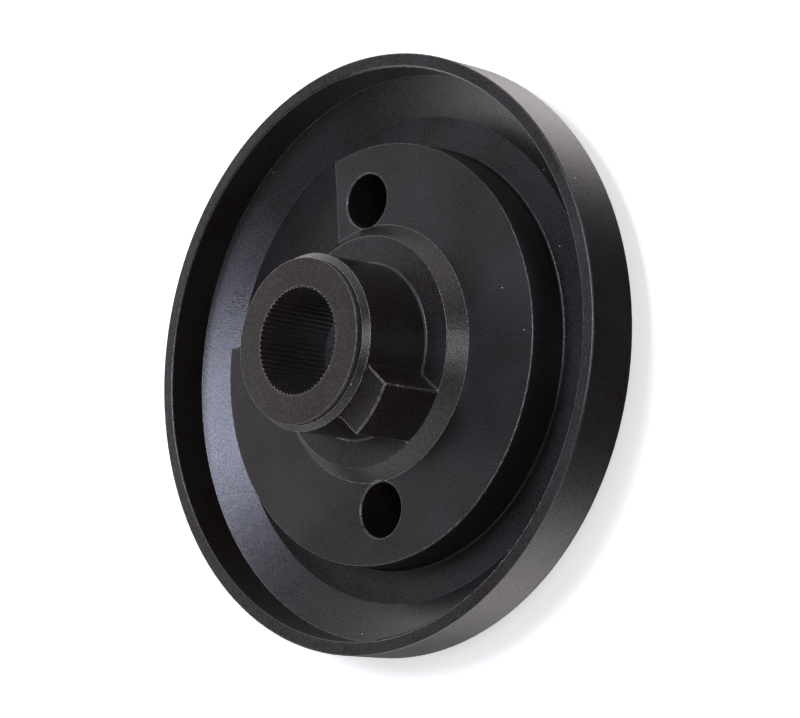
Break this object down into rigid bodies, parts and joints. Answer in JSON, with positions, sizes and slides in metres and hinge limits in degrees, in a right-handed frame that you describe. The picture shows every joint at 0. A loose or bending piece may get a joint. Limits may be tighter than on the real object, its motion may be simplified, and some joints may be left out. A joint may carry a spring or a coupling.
{
  "type": "serrated winch hub",
  "caption": "Dished black flange hub with a serrated bore, a side drive lug, a snap ring groove and two drive holes.",
  "frame": {"origin": "centre of the flat back face, on the bore axis", "axes": "+Z along the bore axis from the back face towards the nose, +Y through a drive hole, the drive lug at -45 degrees between +X and -Y"},
  "size_m": [0.105, 0.105, 0.03],
  "materials": {
    "anodised_aluminium": "bead-blasted, black anodised",
    "blackened_sleeve": "bead-blasted, blackened",
    "spring_steel": "black oxide"
  },
  "bodies": {
    "hub": {"hub_body": "anodised_aluminium", "serrated_sleeve": "blackened_sleeve", "retaining_ring": "spring_steel"}
  },
  "joints": []
}
